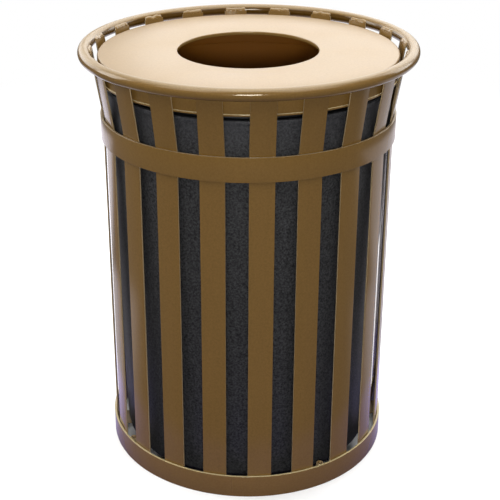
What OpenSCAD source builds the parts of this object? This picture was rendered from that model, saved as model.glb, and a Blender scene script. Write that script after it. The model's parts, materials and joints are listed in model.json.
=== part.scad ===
// Flat top trash can: an open frame of painted flat-bar slats under a rolled tube rim,
// with a loose plastic liner inside and a loose flat lid that has one round opening.
// Millimetres, +Z up. The origin is the centre of the base band's lower edge, which stands
// on the ground. The viewer of the photograph stands on the -Y side.

/* [Overall] */
// Outside diameter over the tube rim
rim_od = 711; // [705:1:716]
// Height of the tube rim's centre line above the ground
rim_z = 911.3; // [905:0.1:925]
// Outside diameter over the two flat bands
band_od = 629; // [627:1:631]

/* [Rim tube] */
// Diameter of the rolled rim tube
tube_d = 25.4; // [24:0.1:26]

/* [Bands] */
// Height of each band, which is the width of its flat bar
band_h = 50.8; // [45:0.1:55]
// Thickness of each band
band_t = 4.8; // [4:0.1:5.5]
// Height of the middle band's lower edge
mid_band_z = 727.9; // [700:0.1:735]

/* [Slats] */
// Width of a slat
slat_w = 50.8; // [45:0.1:52]
// Thickness of a slat
slat_t = 3.2; // [3:0.1:3.6]
// Turn of the first slat from the front, in degrees
slat_turn = 4.68; // [0:0.01:9]
// Height of a slat's lower end above the ground
slat_foot_z = 2; // [1:0.5:5]

/* [Lid] */
// Height of the lid's flat top
lid_z = 906.8; // [904:0.1:908]
// Radius of the lid's upright skirt, outside
lid_r = 315.5; // [314:0.1:315.5]
// Thickness of the lid's sheet
lid_t = 1.9; // [1.5:0.1:2.2]
// Radius of the round opening in the lid
opening_r = 148.2; // [100:0.1:160]
// Height of the skirt's lower edge
skirt_z = 860.6; // [860.5:0.1:866]

/* [Liner] */
// Height of the liner's underside, a hair above the floor bars
liner_z = 19; // [17:0.1:22]
// Height of the liner's mouth, hidden by the lid
liner_top_z = 892; // [880:0.5:894]
// Height of the liner's shoulder, whose edge shows below the lid's skirt
shoulder_z = 849; // [840:0.5:854]
// Outside radius of the liner's wall at its foot
liner_foot_r = 280.6; // [270:0.1:282]
// Outside radius of the liner's wall at its shoulder
shoulder_r = 302.2; // [296:0.1:303]
// Outside radius of the neck above the shoulder
neck_r = 290.5; // [286:0.5:292]
// Thickness of the liner's wall
liner_t = 3.2; // [2.5:0.1:4]

/* [Levelling feet] */
// Outside diameter of a threaded sleeve
sleeve_d = 16; // [15:0.5:17]
// Diameter of the threaded stud
stud_d = 9.52; // [8:0.01:10]
// Height of the sleeve's upper end
sleeve_top_z = 50; // [46:0.5:54]

/* [Hidden] */
eps = 0.01;
// rim
tube_r = tube_d / 2;
rim_r = rim_od / 2 - tube_r;
// bands
band_r = band_od / 2;
band_in_r = band_r - band_t;
mid_band_top = mid_band_z + band_h;
// slats: one node each, so their number is set here. slat_d is the distance of the flat outer
// face from the axis, with both edges just touching the bands
slat_count = 20;
slat_pitch = 360 / slat_count;
slat_d = sqrt(pow(band_in_r - 0.01, 2) - pow(slat_w / 2, 2));
// the flare starts just above the middle band and ends against the inside of the rim tube
flare_z = mid_band_top + 0.3;
slat_end_d = sqrt(pow(rim_r - tube_r * 1.0115 - 0.05, 2) - pow(slat_w / 2, 2));
flare_a = atan((slat_end_d - slat_d) / (rim_z - flare_z));
bend_r = 10;
bend_run = bend_r * tan(flare_a / 2);
bend_steps = 4;
// rim welds: where the fillet runs out on the tube, as an angle above the tube's inner side
weld_climb = 33;
weld_turn = 7.9;
slat_end_z = rim_z + slat_t * sin(flare_a);
weld_toe_r = sqrt(pow(slat_end_d - slat_t * cos(flare_a), 2) + pow(slat_w / 2, 2));
// band welds at the slats' edges
band_weld_leg = 2.8;
band_weld_len = 24;
// seams where the rolled bars close
seam_turn = -6.2;
seam_span = 0.4;
seam_proud = 0.4;
// floor bars
bar_w = 50.8;
bar_t = 4.8;
bar_z = liner_z - bar_t - 0.1;
bar_half = slat_d - slat_t - 0.02;
bar_weld_leg = 4;
// sleeves stand in the middle of four gaps, touching the base band through their welds
sleeve_r = sleeve_d / 2;
sleeve_at_r = band_in_r - sleeve_r - 0.1;
sleeve_turn = slat_turn + 1.5 * slat_pitch;
sleeve_z = 10;
// feet, drawn screwed right up
thread_gap = 0.05;
stud_top_z = 38;
hex_af = 12;
hex_z = 5.2;
hex_h = 4;
pad_z = 1.2;
pad_r = 7;
// liner
liner_corner = 19;
liner_slope = (shoulder_r - liner_foot_r) / (shoulder_z - liner_z);
liner_rim_r = 307;
liner_lip_h = 8;
// lid
lid_corner = 5;
opening_corner = 2.5;
opening_lip_z = lid_z - 7.3;
lid_joint_z = lid_z - 6.8;
bead_r = 2.4;
bead_at_r = 315.55;

paint = [0.44, 0.33, 0.19];
lid_paint = [0.55, 0.45, 0.30];
black_plastic = [0.16, 0.16, 0.17];
zinc = [0.72, 0.70, 0.55];

// Turns its children to a place round the axis, counted from the front towards +X.
module at_turn(turn) {
    rotate([0, 0, turn]) children();
}

// Stands a profile, drawn as distance from the axis and height, on the front line and
// gives it a width across.
module across(width) {
    rotate([0, 0, -90]) translate([0, width / 2, 0]) rotate([90, 0, 0])
        linear_extrude(height = width) children();
}

// Slats

// Points of a slat's face at a distance back from its outer face, from the foot up.
function face_points(back) = concat(
    [[slat_d - back, slat_foot_z]],
    [for (i = [0 : bend_steps]) let (a = flare_a * i / bend_steps)
        [slat_d + bend_r - (bend_r + back) * cos(a), flare_z - bend_run + (bend_r + back) * sin(a)]],
    [[slat_end_d - back * cos(flare_a), rim_z + back * sin(flare_a)]]);

function reversed(list) = [for (i = [len(list) - 1 : -1 : 0]) list[i]];

module slat_profile() {
    polygon(concat(face_points(0), reversed(face_points(slat_t))));
}

module slat(number) {
    color(paint) at_turn(slat_turn + (number - 1) * slat_pitch) across(slat_w) slat_profile();
}

// Rim

module rim_tube() {
    color(paint) rotate_extrude($fn = 144) translate([rim_r, rim_z]) circle(r = tube_r, $fn = 48);
}

// Fillets in the corner between each slat's end and the inside of the tube. They follow the
// tube round, and start just above the slat's square-cut end.
module rim_weld_profile() {
    upper = [rim_r - tube_r * cos(weld_climb), rim_z + tube_r * sin(weld_climb)];
    toe = [weld_toe_r, slat_end_z + 0.02];
    middle = (toe + upper) / 2 + [-0.7, 0.7];
    difference() {
        polygon([toe, [upper[0] + 1, toe[1]], [upper[0] + 1, upper[1]], upper, middle]);
        translate([rim_r, rim_z]) circle(r = tube_r + 0.01, $fn = 64);
    }
}

module rim_welds() {
    color(paint) for (i = [0 : slat_count - 1])
        at_turn(slat_turn + i * slat_pitch - 90 - weld_turn / 2)
            rotate_extrude(angle = weld_turn, $fn = 144) rim_weld_profile();
}

// Bands

module band(z) {
    rotate_extrude($fn = 144) translate([band_in_r, z]) square([band_t, band_h]);
}

module mid_band() {
    color(paint) band(mid_band_z);
}

module base_band() {
    color(paint) band(0);
}

// Low upright ridge where a rolled band was closed and welded.
module seam(z, turn) {
    at_turn(turn - 90 - seam_span / 2) rotate_extrude(angle = seam_span, $fn = 144)
        translate([band_r + 0.01, z]) square([seam_proud, band_h - 1]);
}

module band_seams() {
    color(paint) seam(0.5, seam_turn);
    color(paint) seam(mid_band_z + 0.5, 180 + slat_turn + slat_pitch / 2);
}

// Fillets in the corners between the slats' edges and the inside of a band.
module band_welds(z) {
    for (i = [0 : slat_count - 1]) at_turn(slat_turn + i * slat_pitch) for (side = [-1, 1])
        translate([0, 0, z + (band_h - band_weld_len) / 2]) linear_extrude(height = band_weld_len)
            polygon([
                [side * (slat_w / 2 + eps), -slat_d],
                [side * (slat_w / 2 + eps), band_weld_leg - slat_d],
                [side * (slat_w / 2 + band_weld_leg),
                    eps - sqrt(pow(band_in_r - 0.01, 2) - pow(slat_w / 2 + band_weld_leg, 2))]]);
}

module mid_band_welds() {
    color(paint) band_welds(mid_band_z);
}

module base_band_welds() {
    color(paint) band_welds(0);
}

// Floor bars

module floor_bar_long() {
    color(paint) at_turn(slat_turn) translate([-bar_w / 2, -bar_half, bar_z])
        cube([bar_w, 2 * bar_half, bar_t]);
}

module floor_bar_short(turn) {
    color(paint) at_turn(slat_turn + turn) translate([-bar_w / 2, -bar_half, bar_z])
        cube([bar_w, bar_half - bar_w / 2 - 0.02, bar_t]);
}

// Fillets under the ends of the floor bars, against the slats.
module floor_bar_welds() {
    color(paint) for (turn = [0 : 90 : 270]) at_turn(slat_turn + turn) across(bar_w - 8)
        polygon([[bar_half + 0.01, bar_z - 0.01], [bar_half + 0.01, bar_z - bar_weld_leg],
            [bar_half - bar_weld_leg, bar_z - 0.01]]);
}

// Levelling feet

module at_foot(number) {
    at_turn(sleeve_turn + (number - 1) * 90) translate([0, -sleeve_at_r, 0]) children();
}

module foot_sleeves() {
    color(paint) for (number = [1 : 4]) at_foot(number) difference() {
        translate([0, 0, sleeve_z]) cylinder(r = sleeve_r, h = sleeve_top_z - sleeve_z, $fn = 48);
        translate([0, 0, sleeve_z - 1])
            cylinder(r = stud_d / 2 + thread_gap, h = sleeve_top_z - sleeve_z + 2, $fn = 48);
    }
}

// Two upright fillets beside each sleeve, against the base band.
module foot_sleeve_welds() {
    color(paint) for (number = [1 : 4]) at_foot(number) for (side = [-1, 1])
        translate([0, 0, sleeve_z + 4]) linear_extrude(height = 28) difference() {
            polygon([[side * 2.5, 0.3 - sleeve_r], [side * 7.6, -sleeve_r - 0.05], [side * 7.4, -5]]);
            circle(r = sleeve_r + 0.01, $fn = 48);
            translate([0, sleeve_at_r]) difference() {
                circle(r = band_r, $fn = 144);
                circle(r = band_in_r - 0.01, $fn = 144);
            }
        }
}

module foot_stud(number) {
    color(zinc) at_foot(number) {
        translate([0, 0, hex_z]) cylinder(r = hex_af / 2 / cos(30), h = hex_h, $fn = 6);
        translate([0, 0, hex_z]) cylinder(r = stud_d / 2, h = stud_top_z - hex_z, $fn = 48);
    }
}

module foot_pad(number) {
    color(black_plastic) at_foot(number) translate([0, 0, pad_z])
        cylinder(r = pad_r, h = hex_z - pad_z, $fn = 48);
}

// Liner

// Filled half section of the liner's pot, set in from the outside by a thickness.
module pot_profile(inset, top) {
    r = liner_corner - inset;
    foot = liner_foot_r - inset * sqrt(1 + pow(liner_slope, 2)) + liner_slope * inset;
    low = liner_z + inset;
    a = foot + liner_slope * r - r * sqrt(1 + pow(liner_slope, 2));
    lean = atan(liner_slope);
    union() {
        polygon([[0, low], [a, low], [a + r * cos(lean), low + r - r * sin(lean)],
            [foot + liner_slope * (top - low), top], [0, top]]);
        translate([a, low + r]) circle(r = r, $fn = 64);
    }
}

// A drafted pot up to the shoulder, whose edge turns down, and a neck that stands inside the
// lid's skirt.
module liner() {
    color(black_plastic) rotate_extrude($fn = 144) {
        difference() {
            pot_profile(0, shoulder_z);
            pot_profile(liner_t, shoulder_z + 5);
        }
        translate([neck_r - liner_t, shoulder_z - liner_t])
            square([liner_rim_r - neck_r + liner_t, liner_t]);
        translate([liner_rim_r - liner_t, shoulder_z - liner_lip_h]) square([liner_t, liner_lip_h]);
        translate([neck_r - liner_t, shoulder_z - liner_t])
            square([liner_t, liner_top_z - shoulder_z + liner_t]);
    }
}

// Lid

// Quarter ring in the section, for a rounded sheet corner. flip is 1 outwards, -1 inwards.
module corner_profile(centre, r, flip) {
    translate(centre) intersection() {
        difference() {
            circle(r = r, $fn = 64);
            circle(r = r - lid_t, $fn = 64);
        }
        translate([flip > 0 ? 0 : -r - 1, 0]) square([r + 1, r + 1]);
    }
}

module lid_top() {
    color(lid_paint) rotate_extrude($fn = 144) {
        translate([opening_r + opening_corner, lid_z - lid_t])
            square([lid_r - lid_corner - opening_r - opening_corner, lid_t]);
        corner_profile([lid_r - lid_corner, lid_z - lid_corner], lid_corner, 1);
        translate([lid_r - lid_t, lid_joint_z]) square([lid_t, lid_z - lid_corner - lid_joint_z]);
        corner_profile([opening_r + opening_corner, lid_z - opening_corner], opening_corner, -1);
        translate([opening_r, opening_lip_z]) square([lid_t, lid_z - opening_corner - opening_lip_z]);
    }
}

module lid_skirt() {
    color(lid_paint) rotate_extrude($fn = 144) {
        translate([lid_r - lid_t, skirt_z]) square([lid_t, lid_joint_z - skirt_z]);
        translate([bead_at_r, skirt_z + bead_r]) circle(r = bead_r, $fn = 32);
    }
}

rim_tube();
rim_welds();
mid_band();
base_band();
band_seams();
mid_band_welds();
base_band_welds();
slat(1);  // slat_01
slat(2);  // slat_02
slat(3);  // slat_03
slat(4);  // slat_04
slat(5);  // slat_05
slat(6);  // slat_06
slat(7);  // slat_07
slat(8);  // slat_08
slat(9);  // slat_09
slat(10);  // slat_10
slat(11);  // slat_11
slat(12);  // slat_12
slat(13);  // slat_13
slat(14);  // slat_14
slat(15);  // slat_15
slat(16);  // slat_16
slat(17);  // slat_17
slat(18);  // slat_18
slat(19);  // slat_19
slat(20);  // slat_20
floor_bar_long();
floor_bar_short(90);  // floor_bar_right
floor_bar_short(270);  // floor_bar_left
floor_bar_welds();
foot_sleeves();
foot_sleeve_welds();
foot_stud(1);  // foot_1_stud
foot_pad(1);  // foot_1_pad
foot_stud(2);  // foot_2_stud
foot_pad(2);  // foot_2_pad
foot_stud(3);  // foot_3_stud
foot_pad(3);  // foot_3_pad
foot_stud(4);  // foot_4_stud
foot_pad(4);  // foot_4_pad
liner();
lid_top();
lid_skirt();
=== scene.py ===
# %% [markdown]
# A slatted trash can, dressed for its portrait.
# The welded cage, the liner, the lid and the feet come in as plain measured solids, which
# fix every size and every motion. This file gives each of them the surface it has on the
# real bin: rolled steel bar with soft arrises, a drawn tube, hand-laid weld beads, a spun
# sheet lid and a moulded plastic liner, all in finishes made of shader nodes.

# %% Load the measured model
import json
import math

import bmesh
import bpy
from mathutils import Matrix, Vector, noise


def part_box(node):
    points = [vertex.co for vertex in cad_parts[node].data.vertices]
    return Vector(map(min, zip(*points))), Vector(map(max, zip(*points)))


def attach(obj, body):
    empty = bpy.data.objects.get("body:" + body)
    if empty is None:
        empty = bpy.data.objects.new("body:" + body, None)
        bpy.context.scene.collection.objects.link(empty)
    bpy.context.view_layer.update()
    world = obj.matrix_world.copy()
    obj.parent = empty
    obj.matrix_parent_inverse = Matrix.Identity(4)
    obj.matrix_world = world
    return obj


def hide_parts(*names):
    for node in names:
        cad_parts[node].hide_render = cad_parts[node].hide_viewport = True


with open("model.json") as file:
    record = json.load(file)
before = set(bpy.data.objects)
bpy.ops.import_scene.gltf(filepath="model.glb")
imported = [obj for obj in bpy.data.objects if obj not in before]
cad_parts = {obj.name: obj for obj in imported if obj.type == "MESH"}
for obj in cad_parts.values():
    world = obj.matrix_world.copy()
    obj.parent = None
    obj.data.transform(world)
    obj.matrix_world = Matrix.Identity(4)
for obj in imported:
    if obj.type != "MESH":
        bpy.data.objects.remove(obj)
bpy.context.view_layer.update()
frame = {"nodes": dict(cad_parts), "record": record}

# %% [markdown]
# The driving sizes. Most are read back from the solids, so that a piece made here can't
# drift from the one it stands for. The few that a box doesn't hold, such as the thickness
# of a bar, are named once, in metres. Bands, slats and floor bars are all cut from the same
# 2 inch flat bar.

# %% Sizes of the bin
MM = 0.001
flat_bar_w = 50.8 * MM
rim_low, rim_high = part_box("rim_tube")
tube_r = (rim_high[2] - rim_low[2]) / 2
rim_z = (rim_high[2] + rim_low[2]) / 2
rim_r = 0.3428
band_r = 0.3145
band_t = 4.8 * MM
band_h = flat_bar_w
mid_band_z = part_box("mid_band")[0][2]
slat_count = 20
slat_turn = math.radians(4.68)
slat_pitch = math.tau / slat_count
slat_w = flat_bar_w
slat_t = 3.2 * MM
slat_foot_z = 2 * MM
print("rim tube", round(tube_r * 2000, 1), "mm thick, centre", round(rim_z * 1000, 1), "mm up")

# %% [markdown]
# Camera first, because every look at the work goes through it. Its place was fitted to the
# photograph: an eye 1.54 m above the ground and 2.41 m from the bin's axis, tipped down
# 24.5 degrees, with a long lens. The picture was cropped a little off its centre, and the
# small shift, turn and roll take care of that.

# %% Camera
camera = bpy.data.objects.new("camera", bpy.data.cameras.new("camera"))
bpy.context.scene.collection.objects.link(camera)
eye_back, eye_up, eye_turn = 2.40539, 1.54108, math.radians(-0.547)
swing, tip, roll = 0.03026, 0.42774, -0.00815
eye = Matrix.Rotation(eye_turn, 4, "Z") @ Matrix.Translation((0, -eye_back, eye_up))
aim = (eye @ Matrix.Rotation(swing, 4, "Z") @ Matrix.Rotation(math.pi / 2 - tip, 4, "X")
       @ Matrix.Rotation(roll, 4, "Z"))
camera.location = aim.to_translation()
camera.rotation_euler = aim.to_euler()
camera.data.sensor_fit = "HORIZONTAL"
camera.data.sensor_width = 36
camera.data.lens = 84.371
camera.data.shift_x = 0.07
bpy.context.scene.camera = camera
print("camera lens", camera.data.lens, "mm")

# %% [markdown]
# Helpers for modelling. Everything round on the bin is turned about one axis. A cylinder
# or a torus with a Bevel modifier would give one radius to every corner, and these pieces
# have several. So a piece starts as a small closed outline, its corners are softened by a
# vertex bevel, each with its own radius, and then it is spun.

# %% Outline and spin
def outline(bm, points):
    """Closed outline in the XZ plane from (distance, height, corner radius) points."""
    face = bm.faces.new([bm.verts.new((x, 0, z)) for x, z, _ in points])
    corners = [(v, points[i][2]) for i, v in enumerate(face.verts) if points[i][2] > 0]
    for vert, radius in corners:
        a, b = [(e.other_vert(vert).co - vert.co).normalized() for e in vert.link_edges]
        half = a.angle(b) / 2
        bmesh.ops.bevel(bm, geom=[vert], offset=radius / math.tan(half), offset_type="OFFSET",
                        segments=4, profile=0.5, affect="VERTICES", material=-1)
    bmesh.ops.delete(bm, geom=list(bm.faces), context="FACES_ONLY")


def round_outline(bm, distance, height, radius, segments):
    """Circle in the XZ plane."""
    bmesh.ops.create_circle(
        bm, segments=segments, radius=radius,
        matrix=Matrix.Translation((distance, 0, height)) @ Matrix.Rotation(math.pi / 2, 4, "X"))


def spun(bm, steps):
    """Turns everything in a bmesh once round the upright axis, and closes the ring."""
    bmesh.ops.spin(bm, geom=bm.verts[:] + bm.edges[:], cent=(0, 0, 0), axis=(0, 0, 1), dvec=(0, 0, 0),
                   angle=math.tau, steps=steps, use_merge=True)
    return bm


# %% [markdown]
# Every piece ends in the same way. Doubles are merged first, because faces can only be
# turned outwards together once they share their edges. Then edges sharper than an angle
# stay sharp and the rest are shaded smooth. The piece takes its place beside the measured
# solids, where it stands for one of them.

# %% Finish and place
def finished(bm, name, smooth_angle=35):
    """Object from a bmesh, with doubles merged, faces outwards and sharp edges marked."""
    bmesh.ops.remove_doubles(bm, verts=bm.verts, dist=1e-6)
    bmesh.ops.recalc_face_normals(bm, faces=bm.faces)
    for face in bm.faces:
        face.smooth = True
    limit = math.radians(smooth_angle)
    for edge in bm.edges:
        edge.smooth = not (len(edge.link_faces) == 2 and edge.calc_face_angle(0) > limit)
    mesh = bpy.data.meshes.new(name)
    bm.to_mesh(mesh)
    bm.free()
    piece = bpy.data.objects.new(name, mesh)
    bpy.context.scene.collection.objects.link(piece)
    return piece


def turned(name, points, steps):
    """Closed outline spun a full turn about the bin's axis."""
    bm = bmesh.new()
    outline(bm, points)
    return finished(spun(bm, steps), name)


def place(piece, body, slot, *nodes):
    """Rides on a body and stands for its nodes. Its slot is not used."""
    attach(piece, body)
    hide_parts(*nodes)
    return piece


# %% [markdown]
# The rim is one tube rolled into a ring. A torus would be as round, but a circle that is
# spun about the axis follows the same way as the other pieces and already stands at its
# height. Fine steps keep its edge and the highlights on it smooth even close up.

# %% Rim tube
rim_segments, rim_steps = 64, 360
bm = bmesh.new()
round_outline(bm, rim_r, rim_z, tube_r, rim_segments)
rim = place(finished(spun(bm, rim_steps), "rim_ring"), "frame", "frame_paint", "rim_tube")
print("rim ring:", len(rim.data.polygons), "faces")

# %% [markdown]
# The two bands are flat bar rolled the easy way, on the flat. Hot rolled bar never has a
# knife edge, so its section gets 0.7 mm corners before it is spun: that is what catches
# the thin line of light along a band's top edge. A Bevel modifier on a plain ring would do
# this too, but the outline holds the corners already.

# %% Bands
bar_round = 0.7 * MM
ring_steps = 240


def rolled_band(name, low, node):
    """Band that stands on a height."""
    inner = band_r - band_t
    points = [(inner, low, bar_round), (band_r, low, bar_round),
              (band_r, low + band_h, bar_round), (inner, low + band_h, bar_round)]
    return place(turned(name, points, ring_steps), "frame", "frame_paint", node)


mid_ring = rolled_band("mid_band_bar", mid_band_z, "mid_band")
base_ring = rolled_band("base_band_bar", 0, "base_band")
print("bands at", round(mid_band_z * 1000, 1), "and 0 mm")

# %% [markdown]
# A slat is a length of 2 inch flat bar: straight, bent about 9 degrees in a press above the
# middle band, then straight again up to the tube. It is built the same way. The bar's
# section is a face with rounded corners, it is extruded up, spun through the bend about
# the press's centre, and extruded on along the flare. A Simple Deform modifier could bend
# a straight bar, but only one that has been cut into many short lengths first.

# %% Slat sizes
band_in_r = band_r - band_t
slat_d = math.sqrt((band_in_r - 0.01 * MM) ** 2 - (slat_w / 2) ** 2)
flare_z = mid_band_z + band_h + 0.3 * MM
slat_end_d = math.sqrt((rim_r - tube_r * 1.0115 - 0.05 * MM) ** 2 - (slat_w / 2) ** 2)
flare = math.atan((slat_end_d - slat_d) / (rim_z - flare_z))
bend_r = 10 * MM
bend_run = bend_r * math.tan(flare / 2)
print("slats flare by", round(math.degrees(flare), 1), "degrees from", round(flare_z * 1000), "mm up")


# %% Slats
def only(kind, geom):
    """The verts or the faces among what an operator gives back."""
    return [part for part in geom if isinstance(part, kind)]


def slat_bar(name, turn, node):
    """Bar at the front, bent and then turned to its place round the bin."""
    bm = bmesh.new()
    face = bm.faces.new([bm.verts.new(p) for p in (
        (-slat_w / 2, -slat_d, slat_foot_z), (slat_w / 2, -slat_d, slat_foot_z),
        (slat_w / 2, slat_t - slat_d, slat_foot_z), (-slat_w / 2, slat_t - slat_d, slat_foot_z))])
    bmesh.ops.bevel(bm, geom=bm.verts[:], offset=bar_round, offset_type="OFFSET", segments=3,
                    profile=0.5, affect="VERTICES", material=-1)
    new = bmesh.ops.extrude_face_region(bm, geom=list(bm.faces))["geom"]
    bmesh.ops.translate(bm, vec=(0, 0, flare_z - bend_run - slat_foot_z),
                        verts=only(bmesh.types.BMVert, new))
    bend = bmesh.ops.spin(bm, geom=only(bmesh.types.BMFace, new), axis=(1, 0, 0), dvec=(0, 0, 0),
                          cent=(0, -slat_d - bend_r, flare_z - bend_run), angle=flare, steps=5)
    top = only(bmesh.types.BMFace, bend["geom_last"])
    centre = sum((v.co for v in top[0].verts), Vector()) / len(top[0].verts)
    along = Vector((0, -math.sin(flare), math.cos(flare)))
    length = (rim_z - centre.z + slat_t / 2 * math.sin(flare)) / math.cos(flare)
    new = bmesh.ops.extrude_face_region(bm, geom=top)["geom"]
    bmesh.ops.translate(bm, vec=along * length, verts=only(bmesh.types.BMVert, new))
    bmesh.ops.rotate(bm, cent=(0, 0, 0), matrix=Matrix.Rotation(turn, 3, "Z"), verts=bm.verts)
    return place(finished(bm, name), "frame", "frame_paint", node)


slats = [slat_bar(f"slat_bar_{n + 1:02d}", slat_turn + n * slat_pitch, f"slat_{n + 1:02d}")
         for n in range(slat_count)]
print(len(slats), "slats of", len(slats[0].data.polygons), "faces")

# %% [markdown]
# Weld beads. On the real bin they are laid by hand, so no two are alike: the metal piles up
# in ripples and thins out where the torch stops. A bead starts as a small section in the
# corner that it fills. It is swept along the corner in short steps, and then each station
# is made a little fatter or leaner about the corner's root by a noise, and lean at both
# ends. A Displace modifier would push the sides out too, but would also lift the bead off
# the steel that it is fused to.

# %% Bead helper
weld_smooth = 50
ripple, crust = 110, 290


def bead(bm, section, root, along, length, seed, angle=0.0, steps=18, lump=0.3, lean=0.45):
    """Lumpy bead from a section face. It runs round the axis by an angle, or straight along a vector.

    root gives the corner's point beside a vertex, and along says how far a vertex has come, 0 to 1.
    lump is how rough the bead is, and lean how much of its size is left at its ends.
    """
    before = set(bm.verts)
    face = bm.faces.new([bm.verts.new(p) for p in section])
    step = length / steps
    bmesh.ops.spin(bm, geom=[face], cent=(0, 0, 0), axis=(0, 0, 1), dvec=step, angle=angle,
                   steps=steps)
    for vert in set(bm.verts) - before:
        u = along(vert.co)
        ends = min(1.0, lean + 6 * max(0.0, min(u, 1 - u)))
        rough = (noise.noise(vert.co * ripple + Vector((seed, 0, 0)))
                 + 0.4 * noise.noise(vert.co * crust + Vector((0, seed, 0))))
        heart = root(vert.co)
        vert.co = heart + (vert.co - heart) * ends * (1 + lump * rough)


def around(co, radius, height):
    """Point of a level circle about the bin's axis that is nearest to a point."""
    return Vector((co.x, co.y, 0)).normalized() * radius + Vector((0, 0, height))


# %% [markdown]
# Each slat's end meets the inside of the rim tube, and a fillet lies on top of the joint.
# Its section runs from the toe on the slat's end up to the crest on the tube, a little
# proud of a straight line between them.

# %% Beads between the slats' ends and the rim tube
weld_climb = math.radians(33)
weld_turn = math.radians(7.9)
toe_r = math.hypot(slat_end_d - slat_t * math.cos(flare), slat_w / 2)
toe = Vector((toe_r, 0, rim_z + slat_t * math.sin(flare)))
crest = Vector((rim_r - tube_r * math.cos(weld_climb), 0, rim_z + tube_r * math.sin(weld_climb)))
corner = Vector((crest.x + 0.8 * MM, 0, toe.z - 0.4 * MM))
proud = Vector((-0.9, 0, 0.9)) * MM


def rim_bead(bm, turn, seed):
    """Fillet along one slat's upper end."""
    start = turn - weld_turn / 2 - math.pi / 2
    section = [toe + Vector((0, 0, -0.3 * MM)), corner, crest + Vector((0.8 * MM, 0, 0)), crest,
               crest.lerp(toe, 0.3) + proud, crest.lerp(toe, 0.6) + proud * 1.15,
               toe + Vector((-0.25 * MM, 0, 0.5 * MM))]
    way = Matrix.Rotation(start, 3, "Z")
    bead(bm, [way @ p for p in section], lambda co: around(co, corner.x, corner.z),
         lambda co: ((math.atan2(co.y, co.x) - turn) % math.tau - 1.5 * math.pi) / weld_turn + 0.5,
         Vector((0, 0, 0)), seed, angle=weld_turn, steps=30, lump=0.2, lean=0.75)


bm = bmesh.new()
for n in range(slat_count):
    rim_bead(bm, slat_turn + n * slat_pitch, 3.7 * n)
rim_beads = place(finished(bm, "rim_weld_beads", weld_smooth), "frame", "frame_paint", "rim_welds")
print("rim beads:", len(rim_beads.data.polygons), "faces")

# %% [markdown]
# The slats are flat and the bands are round, so a slat touches a band along its two edges
# only. An upright fillet, about half the band's height, holds each edge from behind.

# %% Beads between the slats' edges and the bands
band_leg = 2.8 * MM
band_bead_h = 24 * MM
band_proud = 0.35 * MM


def edge_bead(bm, turn, side, low, seed):
    """Upright fillet between a slat's edge and the inside of a band."""
    edge, reach = side * slat_w / 2, side * (slat_w / 2 + band_leg)
    wall = -math.sqrt((band_in_r + 0.05 * MM) ** 2 - reach ** 2)
    root = Vector((edge, -math.sqrt(band_in_r ** 2 - edge ** 2), 0))
    tip = Vector((edge - side * 0.05 * MM, band_leg - slat_d, 0))
    foot = Vector((reach, wall, 0))
    bulge = Vector((side, 1, 0)) * band_proud
    section = [root, foot, foot.lerp(tip, 0.35) + bulge, foot.lerp(tip, 0.7) + bulge, tip]
    way = Matrix.Rotation(turn, 3, "Z")
    start = Vector((0, 0, low + (band_h - band_bead_h) / 2))
    heart = way @ root
    bead(bm, [way @ p + start for p in section], lambda co: Vector((heart.x, heart.y, co.z)),
         lambda co: (co.z - start.z) / band_bead_h, Vector((0, 0, band_bead_h)), seed, steps=10)


def band_beads(name, low, node):
    """All the fillets behind one band."""
    bm = bmesh.new()
    for n in range(slat_count):
        for side in (-1, 1):
            edge_bead(bm, slat_turn + n * slat_pitch, side, low, 5.3 * n + side)
    return place(finished(bm, name, weld_smooth), "frame", "frame_paint", node)


mid_beads = band_beads("mid_band_beads", mid_band_z, "mid_band_welds")
base_beads = band_beads("base_band_beads", 0, "base_band_welds")
print("band beads:", len(mid_beads.data.polygons) + len(base_beads.data.polygons), "faces")

# %% [markdown]
# Where a band's bar closes on itself the two ends are welded and ground nearly flush. What
# is left is a low upright ridge with a slightly wandering edge. It could be painted on as
# a dark line, but the light only breaks at it if it stands proud, so it is one more bead.

# %% Seams in the bands
seam_proud = 0.4 * MM
seam_half = 1.1 * MM


def seam_ridge(bm, turn, low, seed):
    """Ridge up the outside of a band."""
    way = Matrix.Rotation(turn, 3, "Z")
    sunk, proud_y, flat = -band_r + 0.1 * MM, -band_r - seam_proud, seam_half * 0.4
    section = [(-seam_half, sunk), (-flat, proud_y), (0, proud_y), (flat, proud_y), (seam_half, sunk)]
    start, rise = low + 0.5 * MM, band_h - 1 * MM
    heart = way @ Vector((0, -band_r, 0))
    bead(bm, [way @ Vector((x, y, start)) for x, y in section],
         lambda co: Vector((heart.x, heart.y, co.z)), lambda co: (co.z - start) / rise,
         Vector((0, 0, rise)), seed, steps=24, lump=0.22)


base_seam_turn = math.radians(-6.2)
mid_seam_turn = math.pi + slat_turn + slat_pitch / 2
bm = bmesh.new()
seam_ridge(bm, base_seam_turn, 0, 1.5)
seam_ridge(bm, mid_seam_turn, mid_band_z, 8.5)
seams = place(finished(bm, "seam_ridges", weld_smooth), "frame", "frame_paint", "band_seams")
print("seams:", len(seams.data.polygons), "faces")

# %% [markdown]
# The liner stands on three lengths of the same flat bar, one right across and two halves
# that meet it. They are cut square and welded under their ends. A cube scaled to the bar,
# with every edge bevelled, is all they need.

# %% Floor bars
long_low, long_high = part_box("floor_bar_long")
bar_low, bar_t = long_low[2], long_high[2] - long_low[2]
bar_w = flat_bar_w
bar_half = slat_d - slat_t - 0.02 * MM


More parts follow.
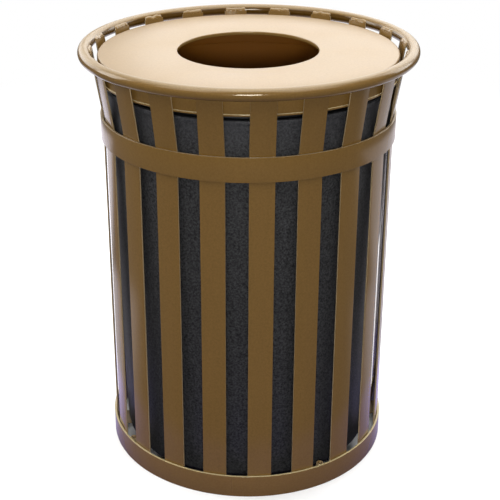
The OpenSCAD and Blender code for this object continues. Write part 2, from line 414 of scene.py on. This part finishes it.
def floor_bar(name, turn, near, far, node):
    """Bar along the front line, from one distance from the axis to another, then turned."""
    bm = bmesh.new()
    bmesh.ops.create_cube(bm, size=1)
    bmesh.ops.scale(bm, vec=(bar_w, far - near, bar_t), verts=bm.verts)
    bmesh.ops.bevel(bm, geom=bm.edges[:], offset=bar_round, offset_type="OFFSET", segments=3,
                    profile=0.5, affect="EDGES", material=-1)
    bmesh.ops.translate(bm, vec=(0, -(near + far) / 2, bar_low + bar_t / 2), verts=bm.verts)
    bmesh.ops.rotate(bm, cent=(0, 0, 0), matrix=Matrix.Rotation(slat_turn + turn, 3, "Z"),
                     verts=bm.verts)
    return place(finished(bm, name), "frame", "frame_paint", node)


floor_bars = [floor_bar("long_floor_bar", 0, -bar_half, bar_half, "floor_bar_long"),
              floor_bar("right_floor_bar", math.pi / 2, bar_w / 2, bar_half, "floor_bar_right"),
              floor_bar("left_floor_bar", -math.pi / 2, bar_w / 2, bar_half, "floor_bar_left")]
print("floor bars:", len(floor_bars), "at", round(bar_low * 1000, 1), "mm")

# %% [markdown]
# A bead across the width of each bar's end holds it from below, in the corner between the
# bar's underside and the slat that it ends against.

# %% Beads under the floor bars
bar_leg = 4 * MM
half = bar_w / 2 - bar_leg
bm = bmesh.new()
for n in range(4):
    way = Matrix.Rotation(slat_turn + n * math.pi / 2, 3, "Z")
    section = [(-bar_half, 0.0), (-bar_half, -bar_leg), (bar_leg * 0.6 - bar_half, -bar_leg * 0.7),
               (bar_leg - bar_half, 0.0)]
    heart = way @ Vector((0, -bar_half, bar_low))
    side = way @ Vector((1, 0, 0))
    bead(bm, [way @ Vector((-half, y, bar_low + z)) for y, z in section],
         lambda co: heart + side * (co - heart).dot(side),
         lambda co: (co - heart).dot(side) / (2 * half) + 0.5, side * 2 * half, 11.0 + n, steps=16)
bar_beads = place(finished(bm, "floor_bar_beads", weld_smooth), "frame", "frame_paint",
                  "floor_bar_welds")
print("floor bar beads:", len(bar_beads.data.polygons), "faces")

# %% [markdown]
# Levelling feet. A threaded sleeve is welded inside the base band in four of the gaps, and
# a stud with a hexagon and a nylon pad screws into it. The thread is a small ridge swept
# round the stud and up it at once: a spin with a rise for each step is a helix. A Screw
# modifier makes the same, but about its object's own origin, and here every origin stays
# at the centre of the bin.

# %% Foot sizes
sleeve_r, bore_r = 8 * MM, 4.81 * MM
sleeve_at = band_in_r - sleeve_r - 0.1 * MM
sleeve_low, sleeve_high = 10 * MM, 50 * MM
thread_pitch = 1.6 * MM
foot_turns = [slat_turn + 1.5 * slat_pitch + n * math.pi / 2 for n in range(4)]
print("feet stand", round(sleeve_at * 1000, 1), "mm from the axis")


# %% Ring and thread helpers
def join(bm, loose):
    """Adds a loose bmesh to another."""
    mesh = bpy.data.meshes.new("loose")
    loose.to_mesh(mesh)
    loose.free()
    bm.from_mesh(mesh)
    bpy.data.meshes.remove(mesh)


def ring_about(bm, x, points, steps=40):
    """Closed outline of (distance, height, corner radius) points spun about an upright axis at x."""
    loose = bmesh.new()
    outline(loose, points)
    spun(loose, steps)
    bmesh.ops.translate(loose, vec=(x, 0, 0), verts=loose.verts)
    join(bm, loose)


def thread(bm, x, radius, depth, low, turns):
    """Helical ridge about an upright axis at x. A negative depth points inwards, as in a bore."""
    loose = bmesh.new()
    sunk, half, per_turn = -0.1 * MM, thread_pitch * 0.42, 20
    section = ((sunk, -half), (depth, -half * 0.2), (depth, half * 0.2), (sunk, half))
    face = loose.faces.new([loose.verts.new((radius + out, 0, low + up)) for out, up in section])
    bmesh.ops.spin(loose, geom=[face], cent=(0, 0, 0), axis=(0, 0, 1),
                   dvec=(0, 0, thread_pitch / per_turn), angle=math.tau * turns, steps=per_turn * turns)
    bmesh.ops.translate(loose, vec=(x, 0, 0), verts=loose.verts)
    join(bm, loose)


def at_foot(bm, turn):
    """Turns a piece made on the +X line to a foot's place, counted from the front."""
    bmesh.ops.rotate(bm, cent=(0, 0, 0), matrix=Matrix.Rotation(turn - math.pi / 2, 3, "Z"),
                     verts=bm.verts)


# %% Sleeves
sleeve_threads = 23
thread_root = bore_r + 0.5 * MM
bm = bmesh.new()
for turn in foot_turns:
    loose = bmesh.new()
    ring_about(loose, sleeve_at, [
        (thread_root, sleeve_low, 0.3 * MM), (sleeve_r, sleeve_low, 0.8 * MM),
        (sleeve_r, sleeve_high, 0.8 * MM), (thread_root, sleeve_high, 0.5 * MM)])
    thread(loose, sleeve_at, bore_r + 0.55 * MM, -0.5 * MM, sleeve_low + 1 * MM, sleeve_threads)
    at_foot(loose, turn)
    join(bm, loose)
sleeves = place(finished(bm, "threaded_sleeves"), "frame", "frame_paint", "foot_sleeves")
print("sleeves:", len(sleeves.data.polygons), "faces")

# %% [markdown]
# Two upright beads fuse each sleeve to the band, one on either side. They fill the narrow
# gap between a small round tube and a wall that is nearly flat beside it.

# %% Beads between the sleeves and the base band
bm = bmesh.new()
for n, turn in enumerate(foot_turns):
    for side in (-1, 1):
        way = Matrix.Rotation(turn - math.pi / 2, 3, "Z")
        root = Vector((sleeve_at + sleeve_r * 0.86, side * sleeve_r * 0.55, 0))
        section = [root, Vector((sleeve_at + sleeve_r * 1.005, side * 7.6 * MM, 0)),
                   Vector((sleeve_at + 6.6 * MM, side * 7.9 * MM, 0)),
                   Vector((sleeve_at + 5.1 * MM, side * 7.2 * MM, 0))]
        heart = way @ root
        low, rise = sleeve_low + 4 * MM, 28 * MM
        bead(bm, [way @ (p + Vector((0, 0, low))) for p in section],
             lambda co: Vector((heart.x, heart.y, co.z)), lambda co: (co.z - low) / rise,
             Vector((0, 0, rise)), 21.0 + n + side, steps=12, lump=0.2)
sleeve_beads = place(finished(bm, "sleeve_beads", weld_smooth), "frame", "frame_paint",
                     "foot_sleeve_welds")
print("sleeve beads:", len(sleeve_beads.data.polygons), "faces")

# %% [markdown]
# The stud is a core with a thread laid on it, so its outer radius is the thread's crest. A
# cone with six sides and equal ends is a hexagon bar, and a small bevel takes off its
# sharp corners as a nut's chamfer does. The pad is turned.

# %% Studs and pads
stud_r = 4.76 * MM
core_r = stud_r - 0.55 * MM
stud_threads = 17
stud_top = 38 * MM
hex_low, hex_h, hex_across = 5.2 * MM, 4 * MM, 12 * MM
pad_low, pad_r = 1.2 * MM, 7 * MM
hex_r = hex_across / 2 / math.cos(math.pi / 6)
stud_low = hex_low + hex_h - 0.5 * MM
feet = []
for n, turn in enumerate(foot_turns):
    bm = bmesh.new()
    ring_about(bm, sleeve_at, [(0.0, stud_low, 0), (core_r, stud_low, 0),
                               (core_r, stud_top, 0.7 * MM), (0.0, stud_top, 0)], 24)
    thread(bm, sleeve_at, stud_r - 0.6 * MM, 0.55 * MM, hex_low + hex_h + 1 * MM, stud_threads)
    nut = bmesh.new()
    bmesh.ops.create_cone(nut, cap_ends=True, segments=6, radius1=hex_r, radius2=hex_r, depth=hex_h,
                          matrix=Matrix.Translation((sleeve_at, 0, hex_low + hex_h / 2)))
    bmesh.ops.bevel(nut, geom=nut.edges[:], offset=0.35 * MM, offset_type="OFFSET", segments=2,
                    profile=0.5, affect="EDGES", material=-1)
    join(bm, nut)
    at_foot(bm, turn)
    feet.append(place(finished(bm, f"levelling_stud_{n + 1}"), f"foot_{n + 1}", "zinc_steel",
                      f"foot_{n + 1}_stud"))
    bm = bmesh.new()
    ring_about(bm, sleeve_at, [(0.0, pad_low, 0), (pad_r, pad_low, 0.9 * MM), (pad_r, hex_low, 0.7 * MM),
                               (0.0, hex_low, 0)], 32)
    at_foot(bm, turn)
    feet.append(place(finished(bm, f"nylon_pad_{n + 1}"), f"foot_{n + 1}", "pad_plastic",
                      f"foot_{n + 1}_pad"))
print("feet:", len(feet), "pieces, thread pitch", thread_pitch * 1000, "mm")

# %% [markdown]
# The lid is a spun disc of sheet steel. Its outer corner is rolled over a 5 mm radius into
# the upright skirt, and the edge of the opening is turned down by 7 mm so that no raw edge
# is left where hands reach in. A plane with a Solidify modifier has one thickness but sharp
# folds, so the section is drawn with both faces of the sheet and a radius at each fold.

# %% Lid top
_, lid_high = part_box("lid_top")
lid_z = lid_high[2]
lid_r = lid_high[0]
lid_t = 1.9 * MM
opening_r = 148.2 * MM
lip_z = lid_z - 7.3 * MM
skirt_top = lid_z - 6.8 * MM
skirt_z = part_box("lid_skirt")[0][2]
lid_points = [
    (opening_r, lid_z, 2.5 * MM), (lid_r, lid_z, 5 * MM), (lid_r, skirt_top, 0),
    (lid_r - lid_t, skirt_top, 0), (lid_r - lid_t, lid_z - lid_t, 3.1 * MM),
    (opening_r + lid_t, lid_z - lid_t, 0.6 * MM), (opening_r + lid_t, lip_z, 0.3 * MM),
    (opening_r, lip_z, 0.6 * MM)]
lid_disc = place(turned("lid_disc", lid_points, ring_steps), "lid", "lid_paint", "lid_top")
print("lid", round(lid_r * 2000, 1), "mm across, opening", round(opening_r * 2000, 1), "mm")

# %% [markdown]
# The skirt is the lid's upright ring. Its lower edge is rolled round a wire, which stiffens
# it and leaves a round bead. The ring and the bead are two outlines in one bmesh, so that
# one spin makes both.

# %% Lid skirt
bead_r = 2.4 * MM
bead_at = 315.55 * MM
bm = bmesh.new()
outline(bm, [(lid_r - lid_t, skirt_top, 0), (lid_r, skirt_top, 0),
             (lid_r, skirt_z + bead_r, 0), (lid_r - lid_t, skirt_z + bead_r, 0)])
round_outline(bm, bead_at, skirt_z + bead_r, bead_r, 20)
lid_skirt = place(finished(spun(bm, ring_steps), "lid_skirt_ring"), "lid", "lid_paint", "lid_skirt")
print("skirt", round((skirt_top - skirt_z) * 1000, 1), "mm deep")

# %% [markdown]
# The liner is a moulded plastic pot with drafted sides and a rounded foot corner. At its
# shoulder an edge turns outwards and down, which is what a hand grips to lift it out, and
# above that a narrower neck stands inside the lid's skirt. It is turned like the lid, with
# both sides of its wall in the outline, because the wall's inner corners have radii of
# their own.

# %% Liner
liner_low, liner_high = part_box("liner")
liner_z, liner_top = liner_low[2], liner_high[2]
liner_foot_r, shoulder_r, neck_r = 280.6 * MM, 302.2 * MM, 290.5 * MM
liner_rim_r = liner_high[0]
shoulder_z = 849 * MM
liner_t = 3.2 * MM
lip_h = 8 * MM
liner_steps = 200
liner_points = [
    (0.0, liner_z, 0), (liner_foot_r, liner_z, 19 * MM), (shoulder_r, shoulder_z - liner_t, 0),
    (liner_rim_r - liner_t, shoulder_z - liner_t, 0.8 * MM),
    (liner_rim_r - liner_t, shoulder_z - lip_h, 0.5 * MM), (liner_rim_r, shoulder_z - lip_h, 0.8 * MM),
    (liner_rim_r, shoulder_z, 1.5 * MM), (neck_r, shoulder_z, 1.5 * MM),
    (neck_r, liner_top, 1.2 * MM), (neck_r - liner_t, liner_top, 1.2 * MM),
    (neck_r - liner_t, shoulder_z - liner_t, 2.5 * MM),
    (shoulder_r - liner_t, shoulder_z - liner_t, 1.5 * MM),
    (liner_foot_r - liner_t, liner_z + liner_t, 15.8 * MM), (0.0, liner_z + liner_t, 0)]
liner_pot = place(turned("liner_pot", liner_points, liner_steps), "liner", "liner_plastic", "liner")
print("liner", round((liner_top - liner_z) * 1000), "mm deep")

# %% [markdown]
# The finishes. The cage and the lid are powder coated brown. A photograph of such a coat
# could be wrapped round each piece, but it would stretch on the round ones. A pattern that
# is worked out from a point's place on the piece never does, so every finish is made of
# nodes on Object coordinates. These helpers add a node and feed its inputs in one line.

# %% Node helpers
def add(tree, kind, **attributes):
    """Node with its attributes set. Nodes are laid out in rows of eight, in the order made."""
    node = tree.nodes.new(kind)
    row, column = divmod(len(tree.nodes), 8)
    node.location = (240 * column - 1900, -280 * row)
    for key, value in attributes.items():
        setattr(node, key, value)
    return node


def feed(tree, value, socket):
    """Links an output to a socket, or sets the socket to a number or a colour."""
    if isinstance(value, bpy.types.NodeSocket):
        tree.links.new(value, socket)
    else:
        socket.default_value = value


def fill(tree, node, **values):
    """Feeds a node's inputs by their names, with _ for a space."""
    for key, value in values.items():
        feed(tree, value, node.inputs[key.replace("_", " ")])
    return node


# %% Maths, masks and noise
def maths(tree, operation, *values):
    """Result of a Math node."""
    node = add(tree, "ShaderNodeMath", operation=operation)
    for value, socket in zip(values, node.inputs):
        feed(tree, value, socket)
    return node.outputs["Value"]


def vectors(tree, operation, *values):
    """Result of a Vector Math node, which is a number for a dot product or a length."""
    node = add(tree, "ShaderNodeVectorMath", operation=operation)
    for value, socket in zip(values, node.inputs):
        feed(tree, value, socket)
    return node.outputs["Value" if operation in ("DOT_PRODUCT", "LENGTH") else "Vector"]


def scaled(tree, vector, factor):
    """Vector, or a colour taken as one, times a number."""
    node = add(tree, "ShaderNodeVectorMath", operation="SCALE")
    return fill(tree, node, Vector=vector, Scale=factor).outputs["Vector"]


def xyz(tree, vector):
    """Outputs X, Y and Z of a vector."""
    return fill(tree, add(tree, "ShaderNodeSeparateXYZ"), Vector=vector).outputs


def ramp(tree, value, low, high, kind="SMOOTHSTEP", start=0.0, end=1.0):
    """Mask that goes from start to end while a value goes from low to high."""
    node = add(tree, "ShaderNodeMapRange", interpolation_type=kind)
    fill(tree, node, Value=value, From_Min=low, From_Max=high, To_Min=start, To_Max=end)
    return node.outputs["Result"]


def blend(tree, factor, first, second):
    """Mix of two colours."""
    node = add(tree, "ShaderNodeMix", data_type="RGBA")
    return fill(tree, node, Factor=factor, A=first, B=second).outputs["Result"]


def noise_at(tree, vector, scale, detail=2.0, rough=0.5):
    """Noise texture's value on a vector."""
    node = add(tree, "ShaderNodeTexNoise")
    return fill(tree, node, Vector=vector, Scale=scale, Detail=detail, Roughness=rough).outputs["Fac"]


# %% [markdown]
# An effect that several materials share is a node group, built once. Each group here puts
# out a colour, a roughness and a height, and a material feeds them to its own shader.

# %% Group and material helpers
def effect_group(name, inputs):
    """Group with the three outputs, its inputs from {label: default}. A tuple makes a colour."""
    tree = bpy.data.node_groups.new(name, "ShaderNodeTree")
    for label, value in inputs.items():
        kind = "NodeSocketColor" if isinstance(value, tuple) else "NodeSocketFloat"
        tree.interface.new_socket(label, in_out="INPUT", socket_type=kind).default_value = value
    for label, kind in (("Colour", "NodeSocketColor"), ("Roughness", "NodeSocketFloat"),
                        ("Height", "NodeSocketFloat")):
        tree.interface.new_socket(label, in_out="OUTPUT", socket_type=kind)
    asked = add(tree, "NodeGroupInput").outputs
    given = add(tree, "NodeGroupOutput", location=(400, 0)).inputs
    where = add(tree, "ShaderNodeTexCoord").outputs
    return tree, asked, given, where["Object"], where["Normal"]


def made_of(effect, name, bump_strength, bump_distance, **values):
    """Material that takes colour, roughness and bump from a group with the given inputs."""
    material = bpy.data.materials.new(name)
    material.use_nodes = True
    tree = material.node_tree
    surface = fill(tree, add(tree, "ShaderNodeGroup", node_tree=effect), **values).outputs
    bump = fill(tree, add(tree, "ShaderNodeBump"), Strength=bump_strength, Distance=bump_distance,
                Height=surface["Height"])
    shader = fill(tree, tree.nodes["Principled BSDF"], Base_Color=surface["Colour"],
                  Roughness=surface["Roughness"], Normal=bump.outputs["Normal"])
    return material, shader.inputs


# %% [markdown]
# The coat. Powder paint has a slow drift in colour and gloss, a fine grain, and rain marks
# that run down it: noise on coordinates that are stretched along Z. Faces which look at the
# sky are rougher than upright ones and get a painted top light, a lighter colour that stands
# for the light falling on them. The normal's height tells which faces those are.

# %% Coat: drift, rain marks and painted top light
# The inputs give a painted top light on upward faces with its own roughness, a painted highlight on
# narrow edges and a painted shade on inward faces, each with a colour and an amount.
coat, asked, given, spot, normal = effect_group("coat", {
    "Colour": (0.1, 0.1, 0.1, 1), "Chalk colour": (0.2, 0.2, 0.2, 1), "Chalk": 0.5, "Drift": 0.1,
    "Streaks": 0.1, "Gloss": 0.35, "Chalk gloss": 0.5, "Gloss drift": 0.08,
    "Edge colour": (0.2, 0.2, 0.2, 1), "Edge": 0.0, "Grime": 0.0})
slow = maths(coat, "SUBTRACT", noise_at(coat, spot, 5.5, 3.0, 0.55), 0.5)
runs = vectors(coat, "MULTIPLY", spot, (60, 60, 2.2))
runs = maths(coat, "SUBTRACT", noise_at(coat, runs, 1.0, 4.0, 0.6), 0.5)
grain = maths(coat, "SUBTRACT", noise_at(coat, spot, 260.0), 0.5)
# Upward faces get the painted top light, patchy with the slow drift.
upward = ramp(coat, xyz(coat, normal)["Z"], 0.45, 0.95)
toplit = maths(coat, "MULTIPLY", upward, maths(coat, "MULTIPLY_ADD", slow, 0.5, 1.0))
toplit = maths(coat, "MULTIPLY", toplit, asked["Chalk"])
tone = blend(coat, toplit, asked["Colour"], asked["Chalk colour"])

# %% [markdown]
# Two more marks are found by comparing the normal with the way round the bin and the way
# out from its axis. The slats' narrow edges, whose normals run round the bin, are painted
# pale: a painted highlight for the light that they catch. The side of the rim tube that
# looks inwards, across the gap to the lid, is painted darker: a painted shade.

# %% Coat: painted edge highlight and painted shade
# Colour of the painted shade on the rim tube's inward side.
gap_shadow_colour = (0.052, 0.022, 0.0, 1)
way_round = vectors(coat, "NORMALIZE", vectors(coat, "CROSS_PRODUCT", spot, (0, 0, 1)))
# Mask of the narrow edges that get the painted highlight.
edges = ramp(coat, maths(coat, "ABSOLUTE", vectors(coat, "DOT_PRODUCT", way_round, normal)), 0.5, 0.95)
tone = blend(coat, maths(coat, "MULTIPLY", edges, asked["Edge"]), tone, asked["Edge colour"])
outward = vectors(coat, "NORMALIZE", vectors(coat, "MULTIPLY", spot, (1, 1, 0)))
inward = maths(coat, "MULTIPLY", vectors(coat, "DOT_PRODUCT", outward, normal), -1.0)
# Faces that look back at the axis get the painted shade.
gap_shadowed = maths(coat, "MULTIPLY", ramp(coat, inward, 0.76, 0.93), asked["Grime"])
tone = blend(coat, gap_shadowed, tone, gap_shadow_colour)

# %% [markdown]
# The patterns are put together. Drift, grain and rain marks only lighten or darken the
# tone a little. The orange peel is a coarse noise with a finer one added. It goes out as a
# height, and the material turns it into bump, because real peel is far too fine to model.

# %% Coat: colour, gloss and orange peel
shade = maths(coat, "MULTIPLY_ADD", slow, asked["Drift"], 1.0)
shade = maths(coat, "MULTIPLY_ADD", grain, 0.35, shade)
shade = maths(coat, "MULTIPLY_ADD", runs, asked["Streaks"], shade)
feed(coat, scaled(coat, tone, shade), given["Colour"])
gloss = maths(coat, "MULTIPLY_ADD", slow, asked["Gloss drift"], asked["Gloss"])
gloss = maths(coat, "MULTIPLY_ADD", runs, maths(coat, "MULTIPLY", asked["Streaks"], 0.6), gloss)
duller = maths(coat, "SUBTRACT", asked["Chalk gloss"], asked["Gloss"])
feed(coat, maths(coat, "MULTIPLY_ADD", toplit, duller, gloss), given["Roughness"])
peel, grit = noise_at(coat, spot, 420.0), noise_at(coat, spot, 1600.0, 1.0)
feed(coat, maths(coat, "MULTIPLY_ADD", grit, 0.25, peel), given["Height"])
print("coat group:", len(coat.nodes), "nodes")


# %% [markdown]
# Four coats come from the one group. The cage and the rim are the same brown, but only the
# cage has the painted highlight on its edges and only the rim has the painted shade. On the
# base band and the lid's skirt the upper edges get the palest painted top light and keep
# their shine. The lid's flat top gets a painted top light a little lighter than the cage's.

# %% Painted steel
def painted(name, colour, toplight_colour, toplight, gloss, toplight_gloss, peel=0.025, edge=0.0, gap_shadow=0.0):
    """Powder coat. Colours are linear.

    The second colour and the number after it give the painted top light on upward faces, and
    gloss and the number after it are the roughness of an upright face and of an upward one.
    """
    # Edge colour is the pale colour of the painted highlight on narrow edges.
    material, shader = made_of(coat, name, peel, 0.4 * MM, Colour=(*colour, 1),
                               Chalk_colour=(*toplight_colour, 1), Chalk=toplight, Gloss=gloss,
                               Chalk_gloss=toplight_gloss, Edge_colour=(0.42, 0.33, 0.2, 1), Edge=edge,
                               Grime=gap_shadow)
    shader["Specular Tint"].default_value = (1.0, 0.93, 0.78, 1)
    return material


# The second brown is the painted top light of upward faces.
brown, toplit_brown = (0.17, 0.0945, 0.0255), (0.25, 0.175, 0.09)
# The cage's edges get the painted highlight, and the rim's inward side the painted shade.
frame_paint = painted("brown_powder_coat", brown, toplit_brown, 0.9, 0.15, 0.42, edge=0.6)
rim_shaded_paint = painted("rim_powder_coat_shaded", brown, toplit_brown, 0.9, 0.15, 0.42, gap_shadow=0.9)
# Their second colours give the painted top light, palest on the band's top edge and the skirt's bead.
band_paint = painted("band_powder_coat", (0.172, 0.095, 0.025), (0.42, 0.34, 0.18), 1.0, 0.16, 0.2)
lid_paint = painted("lid_powder_coat", (0.178, 0.1, 0.027), (0.29, 0.2, 0.108), 1.0, 0.24, 0.42)
print("coats:", frame_paint.name, rim_shaded_paint.name, band_paint.name, lid_paint.name)

# %% [markdown]
# The liner is charcoal polyethylene from a stippled mould. It is scuffed where it drags
# along the slats when it is lifted out, so its scuffs are noise stretched along Z, and dust
# lies on it near the top.

# %% Liner: stipple, scuffs and dust
wear, asked, given, spot, normal = effect_group("liner_wear", {
    "Colour": (0.03, 0.03, 0.03, 1), "Scuff colour": (0.1, 0.1, 0.1, 1),
    "Inner colour": (0.05, 0.03, 0.01, 1), "Scuffs": 0.5})
drag = noise_at(wear, vectors(wear, "MULTIPLY", spot, (190, 190, 9)), 1.0, 5.0, 0.65)
patch = noise_at(wear, spot, 7.0, 3.0)
scuffed = maths(wear, "MULTIPLY", ramp(wear, drag, 0.56, 0.74), patch)
scuffed = maths(wear, "MULTIPLY", scuffed, asked["Scuffs"])
height = xyz(wear, spot)["Z"]
dusty = maths(wear, "MULTIPLY", ramp(wear, height, 0.76, 0.84), maths(wear, "MULTIPLY", patch, 0.45))
stipple = ramp(wear, noise_at(wear, spot, 230.0, 4.0, 0.7), 0.34, 0.66, "LINEAR", 0.1, 1.95)
tone = blend(wear, maths(wear, "MAXIMUM", scuffed, dusty), scaled(wear, asked["Colour"], stipple),
             asked["Scuff colour"])

# %% [markdown]
# The ledge and the neck above it, which the lid's skirt covers, are painted black: painted
# shade for the deep gap under the skirt. They are found by their height and their distance
# from the axis. The inner wall is painted brown: a wall faces inwards where its normal
# looks back at the axis.

# %% Liner: painted shade on the ledge, and brown inside
# Black of the painted shade on the ledge and the neck.
shade_black = (0.003, 0.003, 0.003, 1)
flat_spot = vectors(wear, "MULTIPLY", spot, (1, 1, 0))
ledge = ramp(wear, vectors(wear, "LENGTH", flat_spot), 0.3012, 0.2995, "LINEAR")
above = ramp(wear, height, 0.8465, 0.8475, "LINEAR")
tone = blend(wear, maths(wear, "MULTIPLY", ledge, above), tone, shade_black)
inner = ramp(wear, vectors(wear, "DOT_PRODUCT", flat_spot, normal), 0.0, -0.05, "LINEAR")
feed(wear, blend(wear, inner, tone, asked["Inner colour"]), given["Colour"])
rough = maths(wear, "MULTIPLY_ADD", patch, 0.16, 0.40)
rough = maths(wear, "MULTIPLY_ADD", scuffed, 0.3, rough)
feed(wear, maths(wear, "MULTIPLY_ADD", inner, 0.25, rough), given["Roughness"])
speck = noise_at(wear, spot, 900.0)
feed(wear, maths(wear, "MULTIPLY_ADD", scuffed, -0.6, speck), given["Height"])
liner_plastic, shader = made_of(
    wear, "charcoal_polyethylene", 0.25, 0.3 * MM, Colour=(0.028, 0.028, 0.0285, 1),
    Scuff_colour=(0.085, 0.085, 0.095, 1), Inner_colour=(0.19, 0.064, 0.0002, 1), Scuffs=0.6)
shader["Specular IOR Level"].default_value = 0.3
print("liner group:", len(wear.nodes), "nodes")

# %% [markdown]
# The feet are small and mostly hidden. Their nylon pads and zinc plated studs drift in tone
# and gloss as the coat does, so the coat's group serves them too, with its painted top light
# on upward faces. The zinc is metallic.

# %% Nylon and zinc plate
pad_plastic = painted("black_nylon", (0.02, 0.02, 0.02), (0.04, 0.04, 0.04), 0.3, 0.4, 0.5)
zinc_steel = painted("zinc_plate", (0.6, 0.58, 0.46), (0.5, 0.5, 0.46), 0.4, 0.3, 0.4, peel=0.05)
zinc_steel.node_tree.nodes["Principled BSDF"].inputs["Metallic"].default_value = 1.0
print("feet finishes:", pad_plastic.name, zinc_steel.name)

# %% [markdown]
# Every measured solid takes the finish of its slot from the record, and so does every piece
# made here. Only the rim, the base band and the skirt have coats of their own.

# %% Dress every node and piece
finish_of = {"frame_paint": frame_paint, "lid_paint": lid_paint, "liner_plastic": liner_plastic,
             "pad_plastic": pad_plastic, "zinc_steel": zinc_steel}
slot_of = {part["node"]: part["material_slot"] for part in frame["record"]["subparts"]}
for node, piece in frame["nodes"].items():
    piece.data.materials.clear()
    piece.data.materials.append(finish_of[slot_of[node]])
for piece in (mid_ring, *slats, rim_beads, mid_beads, base_beads, seams, *floor_bars, bar_beads, sleeves,
              sleeve_beads):
    piece.data.materials.append(frame_paint)
for piece, paint in ((rim, rim_shaded_paint), (base_ring, band_paint), (lid_skirt, band_paint),
                     (lid_disc, lid_paint), (liner_pot, liner_plastic)):
    piece.data.materials.append(paint)
for piece in feet:
    piece.data.materials.append(pad_plastic if "pad" in piece.name else zinc_steel)
print("dressed:", len(frame["nodes"]), "measured solids and the pieces that stand for them")

# %% [markdown]
# The floor. To the camera it is white paper that fades into the white behind it, and it
# keeps the bin's soft shadow. In reflections it has zones, as the cards and flags of a real
# studio would make: dark in front, which keeps the front slats a deep brown, and pale with
# a touch of blue beside and behind the bin, which the slats at the far left and right pick
# up. More lamps could do the same, but each would leave its own highlight on the rim.

# %% Floor zones
floor_r = 12.0
bm = bmesh.new()
bmesh.ops.create_circle(bm, cap_ends=True, segments=96, radius=floor_r)
floor = finished(bm, "floor")
paper = bpy.data.materials.new("paper")
paper.use_nodes = True
floor.data.materials.append(paper)
tree = paper.node_tree
where = add(tree, "ShaderNodeTexCoord").outputs["Object"]
reach, side = vectors(tree, "LENGTH", where), xyz(tree, where)
past_bin = ramp(tree, reach, 0.45, 0.55)
past_apron = ramp(tree, reach, 0.95, 1.15)
past_cards = ramp(tree, reach, 2.3, 2.9)
abreast = ramp(tree, side["Y"], -0.25, 0.15)
flank = maths(tree, "MULTIPLY", ramp(tree, maths(tree, "ABSOLUTE", side["X"]), 0.18, 0.34), abreast)
behind = ramp(tree, maths(tree, "MULTIPLY_ADD", side["X"], 0.3, side["Y"]), 0.45, 0.95)
to_right = ramp(tree, side["X"], -0.3, 0.3)

# %% Floor tones
bin_tone = blend(tree, flank, (0.14, 0.13, 0.3, 1), (0.54, 0.5, 0.86, 1))
apron_tone = blend(tree, abreast, (0.1, 0.095, 0.11, 1), (0.43, 0.41, 0.46, 1))
back_tone = blend(tree, to_right, (0.66, 0.64, 0.72, 1), (0.46, 0.44, 0.47, 1))
card_tone = blend(tree, behind, (0.11, 0.105, 0.11, 1), back_tone)
hidden_tone = blend(tree, past_bin, bin_tone, blend(tree, past_apron, apron_tone, card_tone))
hidden_tone = blend(tree, past_cards, hidden_tone, (0.1, 0.1, 0.1, 1))
faded = ramp(tree, reach, 1.4, 3.0)
seen_tone = blend(tree, faded, (0.92, 0.92, 0.92, 1), (0, 0, 0, 1))
to_camera = add(tree, "ShaderNodeLightPath").outputs["Is Camera Ray"]
glow = blend(tree, maths(tree, "MULTIPLY", faded, to_camera), (0, 0, 0, 1), (1, 1, 1, 1))
fill(tree, tree.nodes["Principled BSDF"], Base_Color=blend(tree, to_camera, hidden_tone, seen_tone),
     Roughness=1.0, Specular_IOR_Level=0.0, Emission_Color=glow, Emission_Strength=1.0)
print("floor:", len(tree.nodes), "nodes")

# %% [markdown]
# The world is a dim grey room that fills the shadows, and plain white to the camera, so the
# bin stands on a white ground as in the photograph.

# %% World
world = bpy.data.worlds.new("studio")
bpy.context.scene.world = world
world.use_nodes = True
tree = world.node_tree
to_camera = add(tree, "ShaderNodeLightPath").outputs["Is Camera Ray"]
fill(tree, tree.nodes["Background"],
     Color=blend(tree, to_camera, (0.22, 0.22, 0.225, 1), (1.0, 1.0, 1.0, 1)))
print("world:", world.name)


# %% [markdown]
# The lamps. A large softbox hangs overhead and a tall one stands behind the bin, because
# the flat lid is seen at a grazing angle and takes its cream colour from what stands
# opposite the camera. Lower ones at the back corners light the ends of the rim, others at
# the sides light the upright bars, and a little lamp above the floor on the camera's side
# draws the short highlight on the front of the rim. A single sun lamp would be simpler, but
# its hard light lays every slat's shadow on the liner, and the photograph has none.

# %% Lamps
lamp_aim = Vector((0, 0, 0.6))


def softbox(name, azimuth, elevation, distance, width, height, radiance):
    """Rectangular lamp that looks at the bin's middle. Azimuth 0 is the camera's side."""
    data = bpy.data.lights.new(name, "AREA")
    data.shape = "RECTANGLE"
    data.size, data.size_y = width, height
    data.energy = radiance * math.pi * width * height
    lamp = bpy.data.objects.new(name, data)
    a, e = math.radians(azimuth), math.radians(elevation)
    way = Vector((math.sin(a) * math.cos(e), -math.cos(a) * math.cos(e), math.sin(e)))
    lamp.location = lamp_aim + way * distance
    lamp.rotation_euler = (-way).to_track_quat("-Z", "Y").to_euler()
    lamp.visible_camera = False
    bpy.context.scene.collection.objects.link(lamp)
    return lamp


lamps = [softbox(*row) for row in (
    # name, azimuth, elevation, distance, width, height, radiance
    ("overhead", 0, 89.9, 4.0, 4.2, 4.2, 2.7),
    ("behind", 164, 38, 5.0, 4.6, 5.2, 3.0),
    ("low_left", -140, 19, 5.0, 4.0, 2.4, 2.9),
    ("low_right", 148, 13, 5.0, 3.3, 1.3, 0.6),
    ("left", -102, 22, 5.0, 2.0, 3.0, 5.5),
    ("right", 118, 22, 5.0, 2.0, 3.0, 4.0),
    ("front_left", -48, 47, 5.0, 2.8, 2.2, 2.4),
    ("front_right", 48, 47, 5.0, 2.8, 2.2, 2.5),
    ("key", 0, 17, 4.0, 1.0, 0.4, 54.0))]
print(len(lamps), "lamps")

# %% [markdown]
# Last, the standard view, which keeps the paints' colours as they are set.

# %% Standard view
bpy.context.scene.view_settings.view_transform = "Standard"
